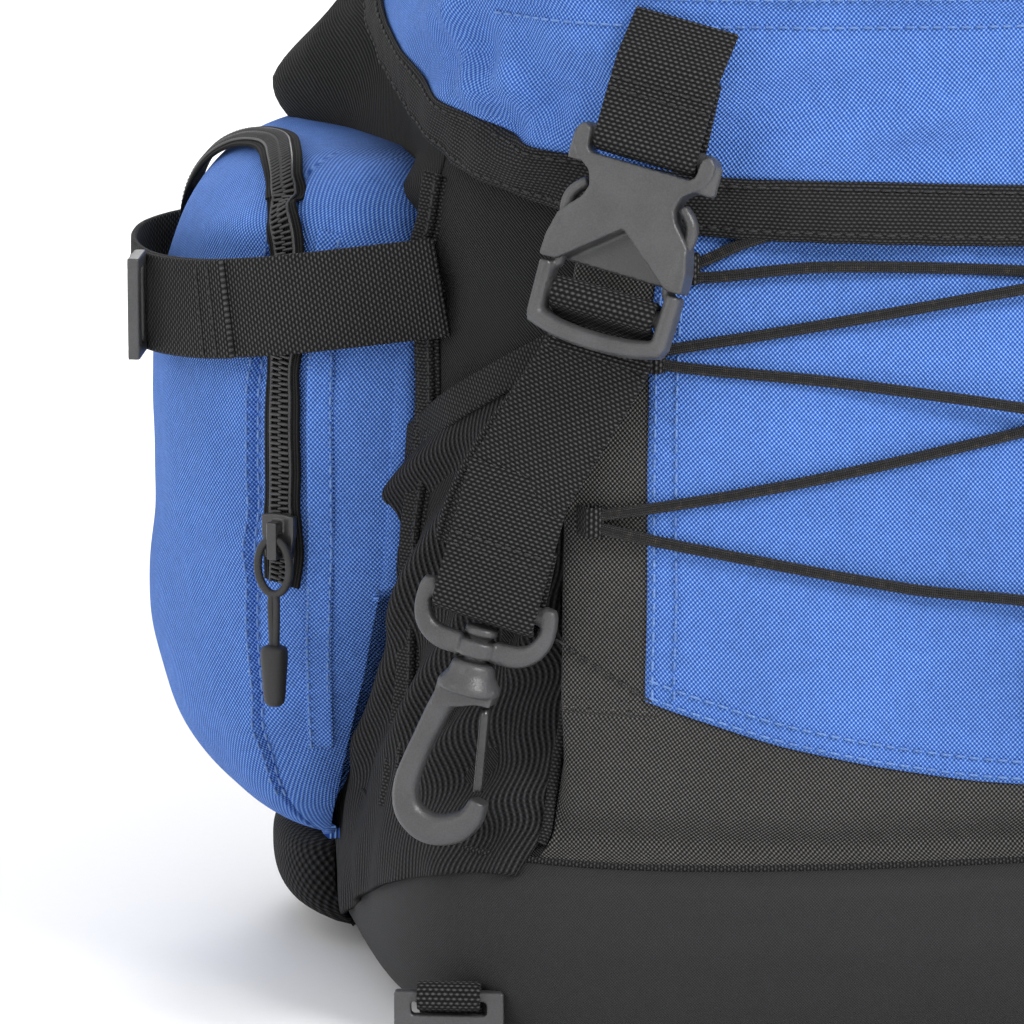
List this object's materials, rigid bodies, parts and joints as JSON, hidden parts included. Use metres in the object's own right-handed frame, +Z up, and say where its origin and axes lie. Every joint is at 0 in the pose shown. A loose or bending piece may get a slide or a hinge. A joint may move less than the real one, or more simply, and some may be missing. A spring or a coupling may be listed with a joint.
{
  "type": "daypack",
  "caption": "Packed daypack with a hooded lid on side-release buckles, laced front pocket, zipped side pockets, compression straps, swivel snap hooks and a shoulder harness.",
  "frame": {"origin": "centre of the flat base, on the surface the pack stands on", "axes": "+Z up, -Y towards the front pocket, +X to the right as seen from the front"},
  "size_m": [0.4186, 0.2716, 0.392],
  "materials": {
    "blue_fabric": "plain weave nylon",
    "gray_fabric": "charcoal plain weave",
    "black_fabric": "fine twill",
    "base_fabric": "coated plain weave",
    "mesh_fabric": "ribbed stretch mesh",
    "webbing": "ribbed webbing",
    "zip_tape": "nylon coil and tape",
    "elastic_cord": "braided cover",
    "white_plastic": "smooth sheet",
    "stay_metal": "mill finish",
    "zip_metal": "black gloss paint",
    "pull_rubber": "moulded, satin",
    "black_plastic": "fine moulded grain"
  },
  "bodies": {
    "pack": {"front_panel": "black_fabric", "side_panel_left": "black_fabric", "side_panel_right": "black_fabric", "back_panel": "mesh_fabric", "bottom_panel": "base_fabric", "base_patch": "base_fabric", "collar": "black_fabric", "frame_sheet": "white_plastic", "frame_stay": "stay_metal", "back_pads": "mesh_fabric", "front_pocket": "blue_fabric", "front_gusset": "gray_fabric", "stretch_side_left": "mesh_fabric", "stretch_side_right": "mesh_fabric", "side_pocket_left": "blue_fabric", "side_pocket_right": "blue_fabric", "side_zip_left": "zip_tape", "side_zip_right": "zip_tape", "compression_strap_left": "webbing", "compression_strap_right": "webbing", "anchor_straps": "webbing", "cord_loops": "webbing", "shock_cord": "elastic_cord", "cord_lock_body": "black_plastic", "lash_straps": "webbing", "shoulder_strap_left": "mesh_fabric", "shoulder_strap_right": "mesh_fabric", "shoulder_webbing": "webbing", "sternum_female": "black_plastic", "hip_wing_left": "mesh_fabric", "hip_wing_right": "mesh_fabric", "hip_female": "black_plastic", "haul_loop": "webbing"},
    "lid": {"lid_shell": "blue_fabric", "lid_hem": "webbing", "lid_straps": "webbing", "buckle_female_left": "black_plastic", "buckle_female_right": "black_plastic"},
    "cord_button": {"cord_lock_button": "black_plastic"},
    "chest_clip": {"sternum_male": "black_plastic"},
    "hip_clip": {"hip_male": "black_plastic"},
    "male_left": {"buckle_male_left": "black_plastic", "tail_strap_left": "webbing"},
    "ring_left": {"swivel_loop_left": "black_plastic"},
    "hook_left": {"snap_hook_left": "black_plastic"},
    "gate_left": {"hook_gate_left": "black_plastic"},
    "slider_left": {"zip_slider_left": "zip_metal"},
    "pull_left": {"zip_pull_left": "pull_rubber"},
    "lash_left": {"lash_lock_left": "black_plastic"},
    "ladder_left": {"shoulder_lock_left": "black_plastic"},
    "male_right": {"buckle_male_right": "black_plastic", "tail_strap_right": "webbing"},
    "ring_right": {"swivel_loop_right": "black_plastic"},
    "hook_right": {"snap_hook_right": "black_plastic"},
    "gate_right": {"hook_gate_right": "black_plastic"},
    "slider_right": {"zip_slider_right": "zip_metal"},
    "pull_right": {"zip_pull_right": "pull_rubber"},
    "lash_right": {"lash_lock_right": "black_plastic"},
    "ladder_right": {"shoulder_lock_right": "black_plastic"}
  },
  "joints": [
    {"name": "lid_hinge", "type": "hinge", "parent": "pack", "child": "lid", "pos_m": [0, 0.103, 0.326], "axis": [-1, 0, 0], "range_deg": [0, 100]},
    {"name": "buckle_release_left", "type": "slide", "parent": "pack", "child": "male_left", "axis": [-0.2873, -0.0742, -0.955], "range_m": [0, 0.026]},
    {"name": "ring_swing_left", "type": "hinge", "parent": "male_left", "child": "ring_left", "pos_m": [-0.13643, -0.08811, 0.11217], "axis": [-0.8848, 0.4126, 0.2164], "range_deg": [0, 60]},
    {"name": "hook_swivel_left", "type": "hinge", "parent": "ring_left", "child": "hook_left", "pos_m": [-0.13643, -0.08811, 0.11217], "axis": [0.2322, -0.0121, 0.9726], "continuous": true},
    {"name": "gate_push_left", "type": "hinge", "parent": "hook_left", "child": "gate_left", "pos_m": [-0.13763, -0.08995, 0.08672], "axis": [0.4039, 0.9108, -0.0851], "range_deg": [0, 18], "stiffness_Nm_per_rad": 0.05, "springref_deg": -11.46},
    {"name": "zip_travel_left", "type": "slide", "parent": "pack", "child": "slider_left", "axis": [0, 0, 1], "range_m": [0, 0.03]},
    {"name": "pull_swing_left", "type": "hinge", "parent": "slider_left", "child": "pull_left", "pos_m": [-0.1788, -0.02853, 0.1154], "axis": [-0.788, 0.6157, 0], "range_deg": [0, 70]},
    {"name": "lash_swing_left", "type": "hinge", "parent": "pack", "child": "lash_left", "pos_m": [-0.14508, -0.08235, 0.0157], "axis": [-0.9703, 0.2419, 0], "range_deg": [0, 55]},
    {"name": "ladder_tilt_left", "type": "hinge", "parent": "pack", "child": "ladder_left", "pos_m": [-0.1015, 0.131, 0.1235], "axis": [0.9703, 0, 0.2419], "range_deg": [0, 35]},
    {"name": "buckle_release_right", "type": "slide", "parent": "pack", "child": "male_right", "axis": [0.2873, -0.0742, -0.955], "range_m": [0, 0.026]},
    {"name": "ring_swing_right", "type": "hinge", "parent": "male_right", "child": "ring_right", "pos_m": [0.13643, -0.08811, 0.11217], "axis": [-0.8848, -0.4126, -0.2164], "range_deg": [0, 60]},
    {"name": "hook_swivel_right", "type": "hinge", "parent": "ring_right", "child": "hook_right", "pos_m": [0.13643, -0.08811, 0.11217], "axis": [0.2322, 0.0121, -0.9726], "continuous": true},
    {"name": "gate_push_right", "type": "hinge", "parent": "hook_right", "child": "gate_right", "pos_m": [0.13763, -0.08995, 0.08672], "axis": [0.4039, -0.9108, 0.0851], "range_deg": [0, 18], "stiffness_Nm_per_rad": 0.05, "springref_deg": -11.46},
    {"name": "zip_travel_right", "type": "slide", "parent": "pack", "child": "slider_right", "axis": [0, 0, 1], "range_m": [0, 0.03]},
    {"name": "pull_swing_right", "type": "hinge", "parent": "slider_right", "child": "pull_right", "pos_m": [0.1788, -0.02853, 0.1154], "axis": [-0.788, -0.6157, 0], "range_deg": [0, 70]},
    {"name": "lash_swing_right", "type": "hinge", "parent": "pack", "child": "lash_right", "pos_m": [0.14508, -0.08235, 0.0157], "axis": [-0.9703, -0.2419, 0], "range_deg": [0, 55]},
    {"name": "ladder_tilt_right", "type": "hinge", "parent": "pack", "child": "ladder_right", "pos_m": [0.1015, 0.131, 0.1235], "axis": [0.9703, 0, -0.2419], "range_deg": [0, 35]},
    {"name": "button_press", "type": "slide", "parent": "pack", "child": "cord_button", "axis": [-1, 0, 0], "range_m": [0, 0.0035], "stiffness_N_per_m": 600, "springref_m": -0.003},
    {"name": "chest_release", "type": "slide", "parent": "pack", "child": "chest_clip", "axis": [1, 0, 0], "range_m": [0, 0.016]},
    {"name": "hip_release", "type": "slide", "parent": "pack", "child": "hip_clip", "axis": [1, 0, 0], "range_m": [0, 0.026]}
  ]
}
